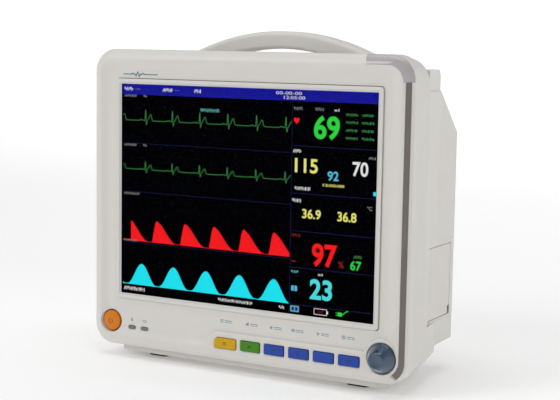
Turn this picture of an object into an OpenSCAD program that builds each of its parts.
// Bedside patient monitor with a 12.1 inch display.
// Millimetres, +Z up, +X to the viewer's right, the display faces -Y.
// Origin: centre of the foot print, at the bottom of the rubber feet.
// Inside the modules, sizes are counted from the centre of the display glass.

/* [Display] */
// Width of the lit area
screen_w = 246; // [240:1:250]
// Height of the lit area
screen_h = 184.5; // [180:0.5:187]
// Width of the raised surround on each side of the lit area
surround_w = 4.5; // [4:0.5:5]

/* [Bezel] */
// Half width of the bezel at its outer edge
bezel_x = 152.5; // [152:0.5:154]
// Top edge of the bezel above the display centre
bezel_top = 122; // [121:0.5:124]
// Bottom edge of the bezel below the display centre
bezel_bottom = -140; // [-142:0.5:-139]
// Depth of the bezel, from the outer edge back to the parting line
bezel_depth = 16; // [15:0.5:18]
// Wall thickness of the mouldings
wall = 2.5; // [2:0.1:3]

/* [Rear housing] */
// Rear wall, measured back from the display glass
rear_y = 124; // [122:0.5:125]
// Height of the seam under the handle moulding
seam_z = 92.5; // [91:0.5:94]
// Half width of the housing at the back
rear_x = 142; // [141:0.5:143]

/* [Handle] */
// Radius of the top of the arch
arch_r = 206.5; // [205:0.5:208]
// Thickness of the bar under the arch
bar_t = 15.2; // [14:0.1:16]
// Height of the ledge that carries the arch
ledge_z = 110; // [109:0.5:111]

/* [Controls] */
// Travel of a key
key_travel = 1.2; // [0.8:0.1:1.2]
// Travel of the power button
power_travel = 1.5; // [1:0.1:1.5]
// Travel of the knob when it is pressed
knob_travel = 0.8; // [0.5:0.1:1]
// Diameter of the knob
knob_d = 24.5; // [23:0.5:25]

/* [Stand] */
// Height of the rubber feet
foot_h = 5.4; // [5:0.1:6]
// Spacing of the stand holes from left to right
stand_x = 100; // [90:5:100]
// Spacing of the stand holes from front to back
stand_y = 50; // [40:5:50]

/* [Hidden] */
$fn = 48;

// Place of the display centre in the frame
glass_y = -55;
glass_z = 151;

// Gap around a moving or inserted piece
gap = 0.4;
// Front planes, counted from the glass, negative towards the viewer
crest_y = -4.5;
face_y = -1.6;
surround_y = -3.4;
face_t = 3;
rim_x = 144;
rim_top = 113.5;
rim_bottom = -131.5;
cove = 10.5;
pad_y = -3.8;
knob_base = pad_y + 0.9;

// Controls, as x and z of their centres
power_at = [-132.6, -118.3];
knob_at = [131.5, -118.6];
lights_x = [-111.5, -98.2];
lights_z = -122.4;
key_z = -124.3;
key_h = 8.4;
key_back = 3;
// Left edge and width of each key, from the left
key_spans = [[-24.4, 21.4], [1.5, 18.6], [24.5, 18.6], [47.7, 18.6], [70.7, 18.6], [93.7, 18.6]];
// Radius of the outer top corner of each key
key_corners = [4.4, 0.8, 0.8, 0.8, 0.8, 0.8];

// Screws that hold the housing to the bezel
screw_points = [[-138, 84], [138, 84], [-60, -107], [60, -107]];
// Recorder pocket: y and z limits of the flat floor, and its plane
pocket_y = [52, 114];
pocket_z = [-102, -36];
recorder_x = 141.9;
door_y = [54.4, 111.6];
door_z = [-99.8, -38.4];
recorder_hinge = [recorder_x - 3, -96.8];
platen_at = [recorder_x - 6.5, -47];
roll_at = [116, -72];
// Battery door: x and z limits, and its hinge line as y and z
cell_x = [-120, -22];
cell_z = [-101, -49];
battery_hinge = [rear_y - 2.5, cell_z[0] + 2.9];
// Sheet metal plate between the bezel bosses and the housing bosses
chassis_y = [30, 31.4];
// Parameter panel on the left side: y and z limits
panel_y = [48, 112];
panel_z = [-58, 53];
panel_x = -136;

// Sockets on the parameter panel as y and z, and the board that they are soldered to
ecg_at = [80, 38];
cuff_at = [62, -16];
temperature_y = 98;
temperature_z = [-16, -38];
pressure_y = 80;
pressure_z = [-16, -40];
board_x = -112;
// Top of the chassis shelf
shelf_z = -28.6;
// Centre of the handle's arch
arch_z = -66.8;
// Bottom of the plinth, and the holes in it
plinth_z = glass_z - foot_h;
plinth_screw_points = [for (side = [-1, 1], at = [[118, 44], [104, 90]]) [side * at[0], at[1]]];
stand_points = [for (x = [-1, 1], y = [-1, 1]) [x * stand_x / 2, 60 + y * stand_y / 2]];
foot_points = [for (x = [-99, 99], y = [28, 98]) [x, y]];
// Rear sockets as x and z
inlet_x = [1, 49];
inlet_z = [-97, -69];
fuses_at = [[62, -84], [79, -84]];
ground_at = [79, -50];
speaker_at = [60, 0];
handle_screw_x = [-118, 118];

// ---------- helpers ----------
module at_display() translate([0, glass_y, glass_z]) children();

// Extrudes an outline drawn in x and z from plane y0 back to plane y1
module along_y(y0, y1) translate([0, y1, 0]) rotate([90, 0, 0]) linear_extrude(y1 - y0) children();

// Extrudes an outline drawn in y and z from plane x0 to plane x1
module along_x(x0, x1) translate([x0, 0, 0]) rotate([90, 0, 90]) linear_extrude(x1 - x0) children();

// Extrudes an outline drawn in x and y from plane z0 to plane z1
module along_z(z0, z1) translate([0, 0, z0]) linear_extrude(z1 - z0) children();

module block(x, y, z) translate([x[0], y[0], z[0]]) cube([x[1] - x[0], y[1] - y[0], z[1] - z[0]]);

// Round bar along y, from y0 back to y1, centred on an [x, z] point
module bar_y(at, r, y0, y1) translate([at[0], y1, at[1]]) rotate([90, 0, 0]) cylinder(r = r, h = y1 - y0);

module bar_x(at, r, x0, x1) translate([x0, at[0], at[1]]) rotate([0, 90, 0]) cylinder(r = r, h = x1 - x0);

module bar_z(at, r, z0, z1) translate([at[0], at[1], z0]) cylinder(r = r, h = z1 - z0);

// Rectangle with round corners, top and bottom radii given apart
module rounded(x, z, top_r, bottom_r) {
    translate([x[0], z[0] + bottom_r]) square([x[1] - x[0], z[1] - z[0] - top_r - bottom_r]);
    translate([x[0] + bottom_r, z[0]]) square([x[1] - x[0] - 2 * bottom_r, bottom_r]);
    translate([x[0] + top_r, z[1] - top_r]) square([x[1] - x[0] - 2 * top_r, top_r]);
    for (side = [0, 1]) {
        translate([x[side] + (1 - 2 * side) * bottom_r, z[0] + bottom_r]) circle(bottom_r);
        translate([x[side] + (1 - 2 * side) * top_r, z[1] - top_r]) circle(top_r);
    }
}

function unit(v) = v / norm(v);

// Points of an arc of radius r that rounds the corner b between a and c
function corner(a, b, c, r, steps = 5) =
    let (
        back = unit(a - b),
        on = unit(c - b),
        half = acos(back * on) / 2,
        centre = b + unit(back + on) * r / sin(half),
        first = b + back * r / tan(half) - centre,
        last = b + on * r / tan(half) - centre,
        from = atan2(first.y, first.x),
        turn = (atan2(last.y, last.x) - from + 540) % 360 - 180
    )
    [for (i = [0:steps]) centre + r * [cos(from + turn * i / steps), sin(from + turn * i / steps)]];

// Outline through [x, y, radius] points
function outline(points) =
    let (n = len(points), p = [for (q = points) [q.x, q.y]])
    [for (i = [0:n - 1])
        each points[i].z == 0 ? [p[i]] : corner(p[(i + n - 1) % n], p[i], p[(i + 1) % n], points[i].z)];

// ---------- bezel shapes ----------
// Outline of the bezel, drawn in by d
module bezel_outline(d) rounded([-bezel_x + d, bezel_x - d], [bezel_bottom + d, bezel_top - d], 20 - d, 18 - d);

module rim_outline(d) rounded([-rim_x + d, rim_x - d], [rim_bottom + d, rim_top - d], 13 - d / 2, 13 - d / 2);

// Solid of the sloped band between the outer edge and the crest
module band_solid() {
    hull() {
        along_y(crest_y, crest_y + 0.2) rim_outline(0, $fn = 32);
        along_y(-0.2, 0) bezel_outline(0.8, $fn = 32);
    }
}

// Region of the corner lens, in x and z
module lens_region(d) {
    difference() {
        polygon([[111 + d, 125], [112.5 + d, 110], [140, 110], [140, 101 + d], [155, 101 + d], [155, 125]]);
        rim_outline(-0.6 - d);
    }
}

// Prism over the lens, drawn in by d, back to plane y1
module lens_cut(d, y1) along_y(-8, y1) lens_region(d);

// Raised pad that carries the keys and runs into the knob's collar
module key_pad_outline() {
    translate([-32.6, -140]) square([150, 13.4]);
    translate([-20.6, -126.6]) square([138, 12]);
    translate([-20.6, -126.6]) circle(12);
    translate(knob_at) circle(16);
}

// Outline of key i, grown by d
module key_outline(i, d) {
    x = [key_spans[i][0], key_spans[i][0] + key_spans[i][1]];
    z = [key_z - key_h / 2, key_z + key_h / 2];
    hull() {
        for (at = [[x[0] + 0.8, z[0] + 0.8], [x[1] - 0.8, z[0] + 0.8], [x[1] - 0.8, z[1] - 0.8]])
            translate(at) circle(0.8 + d);
        translate([x[0] + key_corners[i], z[1] - key_corners[i]]) circle(key_corners[i] + d);
    }
}

module strip_outline(d) {
    difference() {
        intersection() {
            rounded([-bezel_x + 2, bezel_x - 2 + d], [bezel_bottom + 2 - d, bezel_top], 18, 16 + d);
            polygon([[143, -150], [160, -150], [160, 100.6 + d], [140, 100.6 + d], [140, -134]]);
        }
        rounded([-140, bezel_x - 6 - d], [bezel_bottom + 6 + d, bezel_top], 18, 12);
    }
}

// ---------- front ----------
module front_bezel() color([0.80, 0.79, 0.75]) at_display() {
    difference() {
        union() {
            difference() {
                union() {
                    band_solid();
                    along_y(0, bezel_depth) bezel_outline(0);
                }
                // Hollow behind the face
                along_y(face_y + face_t, bezel_depth + 1) bezel_outline(wall);
                // Cove inside the crest
                hull() {
                    along_y(crest_y - 0.4, crest_y) rim_outline(1, $fn = 32);
                    along_y(face_y - 0.02, face_y) rim_outline(cove, $fn = 32);
                }
            }
            // Key pad, trimmed to the face
            intersection() {
                along_y(pad_y, face_y + 0.1) key_pad_outline();
                along_y(-10, 10) rim_outline(0);
            }
            // Bosses for the housing screws
            for (at = screw_points) bar_y(at, 4, face_y + face_t - 0.1, 30);
        }
        // Window
        along_y(-10, 10) rounded([-127.9, 127.9], [-97.2, 97.2], 3, 3);
        // Lens and strip seats
        lens_cut(0, 2);
        along_y(-10, 0.2) strip_outline(0);
        // Controls
        bar_y(power_at, 10, -10, 10);
        bar_y(knob_at, 4.4, -10, 10);
        bar_y(knob_at, knob_d / 2 + 0.6, -10, knob_base + knob_travel + 0.7);
        for (x = lights_x) along_y(-10, 10) rounded([x - 4, x + 4], [lights_z - 1.75, lights_z + 1.75], 1.7, 1.7);
        for (i = [0:5]) along_y(-10, 10) key_outline(i, gap);
        for (at = screw_points) bar_y(at, 1.65, 8, 31);
    }
}

module screen_surround() color([0.78, 0.77, 0.73]) at_display()
    difference() {
        along_y(surround_y, face_y + face_t)
            rounded([-screen_w / 2 - surround_w, screen_w / 2 + surround_w],
                [-screen_h / 2 - surround_w, screen_h / 2 + surround_w], 3, 3);
        along_y(-10, 10) square([screen_w, screen_h], center = true);
        // Seat for the window
        along_y(-1.9, 10) square([screen_w + 5, screen_h + 5], center = true);
    }

module display_window() color([0.75, 0.85, 0.9, 0.3]) at_display()
    along_y(-1.8, -0.4) square([screen_w + 4.6, screen_h + 4.6], center = true);

module window_gasket() color([0.15, 0.15, 0.15]) at_display()
    along_y(face_y + face_t, 2) difference() {
        square([262, 200], center = true);
        square([252, 190.5], center = true);
    }

module display_panel() color([0.1, 0.12, 0.2]) at_display() {
    along_y(-0.3, 2) square([screen_w + 4, screen_h + 4], center = true);
    along_y(2, 10) square([262, 200], center = true);
}

module display_bracket() color([0.75, 0.75, 0.76]) at_display() {
    difference() {
        along_y(10, 11.2) square([266, 204], center = true);
        along_y(9, 12) square([190, 130], center = true);
    }
    for (side = [-1, 1]) block([side * 133 - 0.6, side * 133 + 0.6], [3, 11.2], [-60, 60]);
}

module alarm_lens() color([0.80, 0.79, 0.84, 0.8]) at_display()
    difference() {
        intersection() {
            union() {
                band_solid();
                along_y(0, 1.9) bezel_outline(0);
            }
            lens_cut(0.15, 1.9);
        }
        along_y(-1.8, 3) intersection() {
            bezel_outline(3);
            translate([119, 103]) square([60, 30]);
        }
    }

module alarm_light_board() color([0.1, 0.4, 0.2]) at_display() {
    block([110, 136], [5, 6.4], [105.5, 117]);
    for (x = [113, 120, 127]) block([x, x + 5], [2.5, 5], [109, 114]);
}

module side_strip() color([0.38, 0.36, 0.35]) at_display()
    intersection() {
        along_y(crest_y, 0.2) strip_outline(-0.1);
        union() {
            band_solid();
            along_y(0, 1) bezel_outline(0);
        }
    }

module power_button() color([0.92, 0.58, 0.18]) at_display() {
    bar_y(power_at, 8.9, -2.6, 3.4);
    intersection() {
        bar_y(power_at, 8.9, -6, -2.6);
        translate([power_at[0], 17.4, power_at[1]]) sphere(22, $fn = 128);
    }
    bar_y(power_at, 11.2, 1.9, 3.4);
    bar_y(power_at, 2.5, 3.4, 6.7 - power_travel);
}

module power_switch() color([0.15, 0.15, 0.16]) at_display() {
    block([power_at[0] - 6, power_at[0] + 6], [7.2, 14], [power_at[1] - 6, power_at[1] + 6]);
    block([power_at[0] - 12, power_at[0] + 10], [14, 15.6], [power_at[1] - 10, power_at[1] + 10]);
}

module light_pipe(x) {
    along_y(face_y - 0.3, 4) rounded([x - 3.9, x + 3.9], [lights_z - 1.65, lights_z + 1.65], 1.6, 1.6);
    block([x - 5, x + 5], [face_y + face_t, 2.6], [lights_z - 3, lights_z + 3]);
}

module mains_light() color([0.35, 0.45, 0.35]) at_display() light_pipe(lights_x[0]);
module battery_light() color([0.35, 0.45, 0.35]) at_display() light_pipe(lights_x[1]);

// A key: cap, skirt behind the face, and the stem that meets the mat
module key_cap(i) {
    along_y(pad_y - 1.3, key_back) key_outline(i, 0);
    along_y(1.8, key_back) key_outline(i, 1.1);
}

module key_menu() color([0.88, 0.74, 0.22]) at_display() key_cap(0);
module key_silence() color([0.42, 0.66, 0.22]) at_display() key_cap(1);
module key_freeze() color([0.20, 0.33, 0.68]) at_display() key_cap(2);
module key_mute() color([0.20, 0.33, 0.68]) at_display() key_cap(3);
module key_start() color([0.20, 0.33, 0.68]) at_display() key_cap(4);
module key_print() color([0.20, 0.33, 0.68]) at_display() key_cap(5);

module key_mat() color([0.3, 0.3, 0.32]) at_display() {
    block([-32, 114], [6.6, 7.8], [-133.5, -118]);
    for (k = key_spans) bar_y([k[0] + k[1] / 2, key_z], 3, key_back + key_travel + gap, 6.6);
}

module key_board() color([0.1, 0.4, 0.2]) at_display() {
    block([-36, 115], [7.8, 9.4], [-134, -114]);
    for (x = [-24, 20, 66, 104]) block([x, x + 6], [9.4, 11.5], [-124, -118]);
}

// ---------- knob ----------
module knob() color([0.31, 0.45, 0.57]) at_display() {
    r = knob_d / 2;
    difference() {
        union() {
            bar_y(knob_at, r, -4.4, knob_base);
            translate([knob_at[0], -4.4, knob_at[1]]) rotate([90, 0, 0])
                cylinder(r1 = r, r2 = 7, h = 9.8);
            translate([knob_at[0], -14.2, knob_at[1]]) rotate([90, 0, 0])
                cylinder(r1 = 7, r2 = 6.1, h = 0.9);
        }
        // Bore for the shaft and the finger dish
        bar_y(knob_at, 3, -11, 5);
        translate([knob_at[0], -25.8, knob_at[1]]) sphere(12, $fn = 96);
    }
}

module encoder_shaft() color([0.8, 0.8, 0.82]) at_display()
    bar_y(knob_at, 3, -10.9, 6);

module encoder_plunger() color([0.15, 0.15, 0.16]) at_display()
    bar_y(knob_at, 2.4, 6.1, 9.2);

module encoder_body() color([0.3, 0.32, 0.34]) at_display() {
    difference() {
        union() {
            block([knob_at[0] - 7, knob_at[0] + 7], [7.2, 16], [knob_at[1] - 7, knob_at[1] + 7]);
            bar_y(knob_at, 4.2, -1.4, 7.2);
        }
        bar_y(knob_at, 3.05, -2, 7.2);
        bar_y(knob_at, 2.46, 7, 11);
    }
    block([knob_at[0] - 9, knob_at[0] + 9], [16, 17.6], [knob_at[1] - 10, knob_at[1] + 10]);
}

// ---------- rear housing ----------
// A hollow (w above 0) starts just before the parting line, so that the shell is open there
function open_front(w) = bezel_depth - (w > 0 ? 1 : 0);

// Side outline of the housing body, drawn in by w
function body_side(w) = outline([
    [open_front(w), seam_z - w, 0],
    [77, seam_z - w, 4],
    [rear_y - 4 - w * 0.9, 55 - w * 0.6, 10],
    [rear_y - w, 46, 8],
    [rear_y - w, -122.5 + w, 8],
    [78.4 - w, -122.5 + w, 0],
    [78.4 - w, -128 + w, 0],
    [50, -129.5 + w, 8],
    [38, -136 + w, 8],
    [bezel_depth, -137.5 + w, 0],
    [open_front(w), -137.5 + w, 0]]);

// Top outline of the housing body, drawn in by w
function body_top(w) = outline([
    [-150.3 + w, open_front(w), 0],
    [-148.8 + w, 40, 12],
    [-rear_x - 1 + w, 77, 12],
    [-rear_x + w, rear_y - w, 7],
    [rear_x - w, rear_y - w, 7],
    [rear_x + 1 - w, 77, 12],
    [148.8 - w, 40, 12],
    [150.3 - w, open_front(w), 0]]);

module body_solid(w) {
    intersection() {
        along_x(-155, 155) polygon(body_side(w));
        along_z(-145, 125) polygon(body_top(w));
        along_y(bezel_depth - 2, 130) rounded([-150.3 + w, 150.3 - w], [-137.5 + w, 130], 1, 17 - w);
    }
}

// Collar behind the bezel, higher than the body
module collar_solid(w) intersection() {
    along_y(open_front(w), 40 - w) rounded([-150.3 + w, 150.3 - w], [-137.5 + w, 121 - w], 22 - w, 17 - w);
    along_z(-145, 125) polygon(body_top(w));
}

module vent_slots(x0, count, z0, z1) for (i = [0:count - 1]) block([x0 + i * 8, x0 + i * 8 + 3.2], [60, 140], [z0, z1]);

module rear_housing() color([0.80, 0.78, 0.75]) at_display() {
    difference() {
        union() {
            difference() {
                union() {
                    collar_solid(0);
                    body_solid(0);
                }
                collar_solid(wall);
                body_solid(wall);
            }
            // Pocket floor for the recorder
            block([139.4, recorder_x], pocket_y, pocket_z);
            block([139.4, 146], [pocket_y[0] - wall, pocket_y[0]], [pocket_z[0] - wall, pocket_z[1] + wall]);
            block([139.4, 143.4], [pocket_y[0] - wall, pocket_y[1]], [pocket_z[0] - wall, pocket_z[0]]);
            block([139.4, 143.4], [pocket_y[0] - wall, pocket_y[1]], [pocket_z[1], pocket_z[1] + wall]);
            // Walls round the parameter panel and lugs for the battery door
            intersection() {
                block([-155, panel_x - 2], [panel_y[0] - wall, panel_y[1] + wall],
                    [panel_z[0] - wall, panel_z[1] + wall]);
                body_solid(0);
            }
            for (x = [cell_x[0] - 4, cell_x[1]])
                block([x, x + 4], [117, rear_y - 1], [battery_hinge[1] - 3, battery_hinge[1] + 4]);
            // Bosses for the plinth screws
            for (at = plinth_screw_points) intersection() {
                bar_z(at, 4.5, -140, at[1] < 60 ? -119 : -109);
                body_solid(0.5);
            }
            // Screw bosses
            for (at = screw_points) intersection() {
                bar_y(at, 5, chassis_y[1], 130);
                body_solid(0.5);
            }
        }
        // Recorder pocket and opening
        block([recorder_x, 160], [pocket_y[0], pocket_y[1] + 20], pocket_z);
        block([130, 160], [door_y[0] - gap, door_y[1] + gap], [door_z[0] - gap, door_z[1] + gap]);
        // Parameter panel opening
        block([-160, -130], panel_y, panel_z);
        // Battery opening
        block(cell_x, [100, 140], cell_z);
        // Rear connectors
        block(inlet_x, [100, 140], inlet_z);
        for (at = fuses_at) bar_y(at, 6.2, 100, 140);
        bar_y(ground_at, 5.2, 100, 140);
        block([4, 37], [100, 140], [-56, -43]);
        block([46, 63], [100, 140], [-57, -42]);
        // Air slots on the back and on the slope
        vent_slots(-92, 24, 62, 84);
        vent_slots(-100, 12, -32, 24);
        // Speaker holes
        for (r = [0, 7, 14, 21], i = [0:max(0, r * 6 / 7 - 1)])
            bar_y(speaker_at + r * [cos(i * 420 / max(7, r)), sin(i * 420 / max(7, r))], 1.6, 110, 140);
        // Screw holes and counterbores
        for (at = screw_points) {
            bar_y(at, 1.9, 20, 60);
            bar_y(at, 3.8, 40, 130);
        }
        for (x = handle_screw_x) bar_z([x, 58], 2.2, 80, 95);
        for (at = plinth_screw_points) bar_z(at, 1.65, -145, -111);
        bar_x(battery_hinge, 1.55, cell_x[0] - 3.5, cell_x[1] + 3.5);
    }
}

// ---------- handle ----------

// Ring sector between two radii, kept above plane z0
module arch(r0, r1, z0) intersection() {
    translate([0, arch_z]) difference() {
        circle(r1, $fn = 256);
        circle(r0, $fn = 256);
    }
    translate([-160, z0]) square([320, 100]);
}

module handle() color([0.80, 0.78, 0.75]) at_display() {
    difference() {
        union() {
            // Ledge across the top of the housing
            intersection() {
                along_x(-145, 145) polygon(outline([
                    [40, seam_z, 0], [40, ledge_z, 0], [77, ledge_z, 7], [77, seam_z, 0]]));
                along_z(80, 125) polygon(body_top(0.8));
            }
            along_y(57, 77) arch(0, arch_r, ledge_z - 6);
        }
        // Hand opening under the bar
        along_y(50, 90) intersection() {
            translate([0, arch_z]) circle(arch_r - bar_t, $fn = 256);
            rounded([-92, 92], [98, 150], 1, 6);
        }
        // Finger trench in front of the bar
        along_y(40 - 1, 57) rounded([-100, 100], [98, 150], 1, 6);
        // Hollow underneath
        block([-134, -104], [43, 74], [seam_z - 1, 104]);
        block([104, 134], [43, 74], [seam_z - 1, 104]);
    }
    for (x = handle_screw_x) difference() {
        bar_z([x, 58], 4.5, seam_z, 104.5);
        bar_z([x, 58], 1.7, seam_z - 1, 101);
    }
}

// ---------- base ----------

// Plinth outline from the side, and from above
module plinth_form() intersection() {
    along_x(-130, 130) polygon(outline([
        [5, -plinth_z, 2], [5, bezel_bottom, 0], [bezel_depth, bezel_bottom, 0], [bezel_depth, -137.5, 0],
        [40, -137.5, 0], [40, -134.94, 0], [50, -129.5, 8], [78.4, -128, 0], [78.4, -122.5, 0],
        [112, -122.5, 0], [112, -plinth_z, 6]]));
    along_z(-150, -120) polygon(outline([
        [-129.5, 5, 9], [129.5, 5, 9], [129.5, 60, 20], [115, 112, 8], [-115, 112, 8], [-129.5, 60, 20]]));
}

module base_plinth() color([0.76, 0.75, 0.71]) at_display()
    difference() {
        union() {
            difference() {
                plinth_form();
                // Hollow under the housing
                along_x(-110, 110) polygon([
                    [10, -142.6], [10, -141.6], [17, -139.4], [36, -137.9], [49, -131.3], [79.8, -129.8],
                    [79.8, -124], [106, -124], [106, -142.6]]);
            }
            for (at = plinth_screw_points) intersection() {
                bar_z(at, 4.5, -144, -120);
                plinth_form();
            }
        }
        for (at = stand_points) bar_z(at, 2.2, -150, -139);
        for (at = foot_points) bar_z(at, 3.1, -150, -plinth_z + 3);
        for (at = plinth_screw_points) bar_z(at, 2.2, -150, -118);
    }

module foot(at) {
    along_z(-glass_z, -plinth_z) translate(at) rounded([-10, 10], [-8, 8], 4, 4);
    bar_z(at, 3, -plinth_z, -plinth_z + 3);
}

module feet() color([0.09, 0.09, 0.09]) at_display()
    for (at = foot_points) foot(at);

module stand_plate() color([0.7, 0.7, 0.72]) at_display()
    difference() {
        block([-62, 62], [26, 94], [-142.6, -140.6]);
        for (at = stand_points) bar_z(at, 2, -145, -135);
    }

// ---------- recorder ----------
module recorder_door() color([0.80, 0.78, 0.75]) at_display() {
    block([recorder_x - 2.4, recorder_x], door_y, [recorder_hinge[1] + 4.2, door_z[1]]);
    block([recorder_x - 2.4, recorder_x], [door_y[0] + 3.8, door_y[1] - 3.8],
        [recorder_hinge[1], recorder_hinge[1] + 5]);
    bar_y(recorder_hinge, 3, door_y[0] + 3.8, door_y[1] - 3.8);
    bar_y(recorder_hinge, 1.5, door_y[0] + 1, door_y[1] - 1);
    // Arms that carry the platen
    for (y = [door_y[0] + 1.5, door_y[1] - 3.5]) difference() {
        block([recorder_x - 9, recorder_x - 2.3], [y, y + 2], [platen_at[1] - 6, platen_at[1] + 5]);
        bar_y(platen_at, 1.56, 50, 115);
    }
}

module recorder_housing() color([0.16, 0.17, 0.18]) at_display() {
    difference() {
        block([98, 139.4], [50, 115.5], [-104, -34]);
        block([100, 150], [52.4, 113.2], [-101.8, -36.4]);
        bar_y(roll_at, 2.05, 49, 117);
    }
    // Lugs that hold the door's hinge pins
    for (y = [door_y[0], door_y[1] - 3.4]) difference() {
        union() {
            bar_y(recorder_hinge, 3, y, y + 3.4);
            block([130, recorder_hinge[0]], [y, y + 3.4], [-101.9, recorder_hinge[1]]);
        }
        bar_y(recorder_hinge, 1.55, 40, 120);
    }
    // Print head on its beam
    block([124, platen_at[0] - 3.9], [56, 110], [platen_at[1] - 3, platen_at[1] + 3]);
    block([112, 128], [52, 113.6], [platen_at[1] + 3, platen_at[1] + 5]);
}

module platen_roller() color([0.1, 0.1, 0.1]) at_display() {
    bar_y(platen_at, 3.6, door_y[0] + 4, door_y[1] - 4);
    bar_y(platen_at, 1.5, door_y[0] + 1, door_y[1] - 1);
}

module paper_roll() color([0.95, 0.95, 0.93]) at_display() {
    bar_y(roll_at, 14, 57, 109);
    bar_y(roll_at, 2, 50.2, 115.3);
}

// ---------- battery ----------
module battery_door() color([0.80, 0.78, 0.75]) at_display() {
    x = [cell_x[0] + gap, cell_x[1] - gap];
    block(x, [rear_y - 2.5, rear_y], [battery_hinge[1], cell_z[1] - gap]);
    bar_x(battery_hinge, 2.5, x[0], x[1]);
    bar_x(battery_hinge, 1.5, cell_x[0] - 3, cell_x[1] + 3);
    // Grip ribs
    for (i = [0:3]) block([-83, -59], [rear_y, rear_y + 0.6], [-58 + i * 2, -57 + i * 2]);
}

module battery_pack() color([0.2, 0.22, 0.25]) at_display() {
    block([-114, -28], [58, 118.4], [-98, -53]);
    block([-80, -62], [56, 58], [-86, -66]);
}

// ---------- left side: parameter sockets ----------

module panel_sockets() {
    bar_x(ecg_at, 12.2, -150, -120);
    block([-150, -120], [70, 90], [2, 18]);
    bar_x(cuff_at, 5.2, -150, -120);
    for (z = temperature_z) bar_x([temperature_y, z], 4.6, -150, -120);
    for (z = pressure_z) bar_x([pressure_y, z], 7.7, -150, -120);
}

module parameter_panel() color([0.35, 0.42, 0.50]) at_display()
    difference() {
        block([panel_x - 2, panel_x], [panel_y[0] - wall, panel_y[1] + wall],
            [panel_z[0] - wall, panel_z[1] + wall]);
        panel_sockets();
    }

// Ring of contact pins, facing -x
module pins_x(at, ring, count, r) for (i = [0:count - 1])
    bar_x([at[0] + ring * cos(i * 360 / count), at[1] + ring * sin(i * 360 / count)], r, -131, -121.5);

// Round socket with a flange in front of the panel
module socket_shell(at, r, front) difference() {
    union() {
        bar_x(at, r, front, board_x);
        bar_x(at, r + 1.4, panel_x - 3.4, panel_x - 2);
    }
    bar_x(at, r - 1.8, -160, -122);
}

module ecg_socket() color([0.25, 0.45, 0.30]) at_display() {
    socket_shell(ecg_at, 12, -142);
    pins_x(ecg_at, 5.5, 6, 0.8);
}

module oxygen_socket() color([0.20, 0.35, 0.65]) at_display() {
    difference() {
        union() {
            block([-142, board_x], [70.2, 89.8], [2.2, 17.8]);
            block([panel_x - 3.4, panel_x - 2], [68, 92], [0, 20]);
        }
        block([-160, -122], [72, 88], [4.4, 15.6]);
    }
    for (y = [74, 78, 82, 86]) bar_x([y, 10], 0.6, -131, -121.5);
}

module cuff_port() color([0.75, 0.75, 0.77]) at_display()
    difference() {
        union() {
            bar_x(cuff_at, 5, -147, board_x);
            bar_x(cuff_at, 7.5, panel_x - 3.6, panel_x - 2);
        }
        bar_x(cuff_at, 2, -150, -110);
    }

module temperature_sockets() color([0.15, 0.15, 0.16]) at_display()
    for (z = temperature_z) difference() {
        union() {
            bar_x([temperature_y, z], 4.4, -141, board_x);
            bar_x([temperature_y, z], 6, panel_x - 3.4, panel_x - 2);
        }
        bar_x([temperature_y, z], 3.2, -150, -120);
    }

module pressure_sockets() color([0.55, 0.30, 0.28]) at_display()
    for (z = pressure_z) {
        socket_shell([pressure_y, z], 7.5, -141.5);
        pins_x([pressure_y, z], 3, 4, 0.6);
    }

module parameter_board() color([0.1, 0.4, 0.2]) at_display() {
    block([board_x, board_x + 1.6], [44, 112], [-52, 54]);
    block([-110.4, -107.6], [60, 90], [-20, 20]);
}

module cuff_pump() color([0.55, 0.56, 0.58]) at_display() {
    bar_y([-82, shelf_z + 14], 14, 62, 100);
    bar_y([-82, shelf_z + 14], 10, 52, 62);
    bar_y([-82, shelf_z + 14], 2.5, 100, 106);
}

module cuff_valves() color([0.25, 0.3, 0.36]) at_display()
    for (y = [56, 76]) {
        block([-62, -46], [y, y + 16], [shelf_z, shelf_z + 18]);
        bar_z([-54, y + 8], 2, shelf_z + 18, shelf_z + 25);
    }

// ---------- boards and supply ----------

module chassis_plate() color([0.72, 0.72, 0.74]) at_display() {
    difference() {
        union() {
            block([-126, 126], chassis_y, [-100, 82]);
            for (at = screw_points)
                block(at[1] > 0 ? [min(at[0], at[0] * 0.9) - 5, max(at[0], at[0] * 0.9) + 5] : [at[0] - 8, at[0] + 8],
                    chassis_y, at[1] > 0 ? [at[1] - 6, at[1] + 5] : [at[1] - 6, -99]);
        }
        for (at = screw_points) bar_y(at, 1.9, 20, 40);
        block([-30, 30], [28, 36], [-60, -35]);
    }
    block([-104, 88], [chassis_y[1], 112], [shelf_z - 1.4, shelf_z]);
}

module main_board() color([0.1, 0.4, 0.2]) at_display() {
    block([-90, 90], [21, 22.6], [-80, 60]);
    block([-24, 16], [18, 21], [-20, 20]);
    for (x = [-70, 34, 60]) block([x, x + 20], [22.6, 26], [30, 44]);
    for (x = [-84, 84], z = [-74, 54]) bar_y([x, z], 3, 22.6, chassis_y[0]);
}

module power_supply() color([0.66, 0.66, 0.68]) at_display() {
    block([-38, 46], [52, 96], [shelf_z, 22]);
    for (i = [0:7]) block([-34 + i * 10, -32 + i * 10], [54, 94], [22, 30]);
}

module speaker() color([0.12, 0.12, 0.13]) at_display() {
    bar_y(speaker_at, 26, 117, 121.5);
    bar_y(speaker_at, 17, 106, 117);
}

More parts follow.
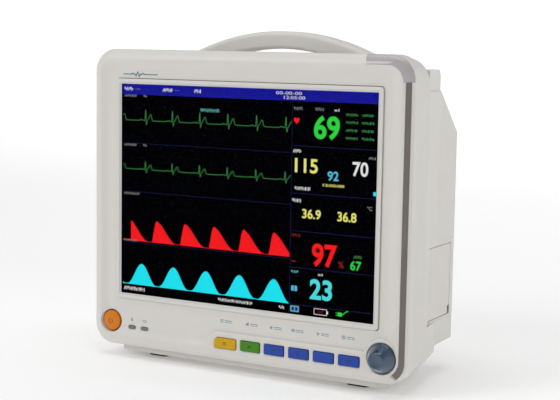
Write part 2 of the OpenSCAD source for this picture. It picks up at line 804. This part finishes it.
// ---------- rear connectors ----------
module mains_inlet() color([0.08, 0.08, 0.08]) at_display() {
    difference() {
        union() {
            block([inlet_x[0] + 0.2, inlet_x[1] - 0.2], [104, rear_y], [inlet_z[0] + 0.2, inlet_z[1] - 0.2]);
            along_y(rear_y, rear_y + 2) rounded([-3, 53], [-99, -67], 3, 3);
        }
        along_y(108, 140) polygon([[12.5, -91], [37.5, -91], [37.5, -80], [32, -75], [18, -75], [12.5, -80]]);
    }
    for (x = [18, 32]) block([x - 1, x + 1], [107.5, 119], [-86.5, -82.5]);
    block([24, 26], [107.5, 119], [-81.5, -77.5]);
}

module fuse_caps() color([0.1, 0.1, 0.1]) at_display()
    for (at = fuses_at) {
        bar_y(at, 6, 98, rear_y);
        difference() {
            bar_y(at, 7.5, rear_y, rear_y + 3.4);
            block([at[0] - 5, at[0] + 5], [rear_y + 2.2, rear_y + 4], [at[1] - 0.7, at[1] + 0.7]);
        }
    }

module ground_post() color([0.72, 0.68, 0.55]) at_display() {
    bar_y(ground_at, 5, 112, rear_y);
    bar_y(ground_at, 7, rear_y, rear_y + 1);
    bar_y(ground_at, 3, rear_y + 1, rear_y + 4);
}

module network_socket() color([0.7, 0.7, 0.72]) at_display()
    difference() {
        block([46.3, 62.7], [106, rear_y + 0.6], [-56.7, -42.3]);
        block([48.5, 60.5], [111, 140], [-54.5, -45.5]);
        block([52, 57], [111, 140], [-46, -43.6]);
    }

module video_socket() color([0.2, 0.3, 0.62]) at_display()
    difference() {
        union() {
            block([4.3, 36.7], [108, rear_y + 0.6], [-55.7, -43.3]);
            along_y(rear_y, rear_y + 3) polygon([[13, -54], [28.5, -54], [30, -45], [11.5, -45]]);
        }
        along_y(rear_y - 3, 140) polygon([[14, -53], [27.5, -53], [28.8, -46], [12.7, -46]]);
    }

// ---------- fasteners ----------
// Countersunk or pan head screw along y: head at y0, tip towards -y
module screw_y(at, r, y0, tip) {
    bar_y(at, r, tip, y0);
    difference() {
        bar_y(at, r * 1.9, y0, y0 + 2.4);
        for (a = [0, 90]) translate([at[0], y0 + 2.4, at[1]]) rotate([0, a, 0]) cube([4.4, 2.4, 0.9], center = true);
    }
}

module housing_screws() color([0.75, 0.75, 0.78]) at_display()
    for (at = screw_points) screw_y(at, 1.6, 40, 12);

module handle_screws() color([0.75, 0.75, 0.78]) at_display()
    for (x = handle_screw_x) {
        bar_z([x, 58], 1.6, 90, 100);
        bar_z([x, 58], 3.4, 87.6, 90);
    }

module plinth_screws() color([0.75, 0.75, 0.78]) at_display()
    for (at = plinth_screw_points) {
        bar_z(at, 1.6, -144, at[1] < 60 ? -126 : -112);
        bar_z(at, 2.1, -145.4, -144);
    }

module board_screws() color([0.75, 0.75, 0.78]) at_display()
    for (x = [-84, 84], z = [-74, 54]) bar_y([x, z], 2.8, 19, 21);

front_bezel();
screen_surround();
display_window();
window_gasket();
display_panel();
display_bracket();
alarm_lens();
alarm_light_board();
side_strip();
power_button();
power_switch();
mains_light();
battery_light();
key_menu();
key_silence();
key_freeze();
key_mute();
key_start();
key_print();
key_mat();
key_board();
knob();
encoder_shaft();
encoder_plunger();
encoder_body();
rear_housing();
handle();
base_plinth();
feet();
recorder_door();
recorder_housing();
platen_roller();
paper_roll();
battery_door();
battery_pack();
parameter_panel();
ecg_socket();
oxygen_socket();
cuff_port();
temperature_sockets();
pressure_sockets();
parameter_board();
cuff_pump();
cuff_valves();
main_board();
power_supply();
chassis_plate();
speaker();
mains_inlet();
fuse_caps();
ground_post();
network_socket();
video_socket();
stand_plate();
housing_screws();
handle_screws();
plinth_screws();
board_screws();
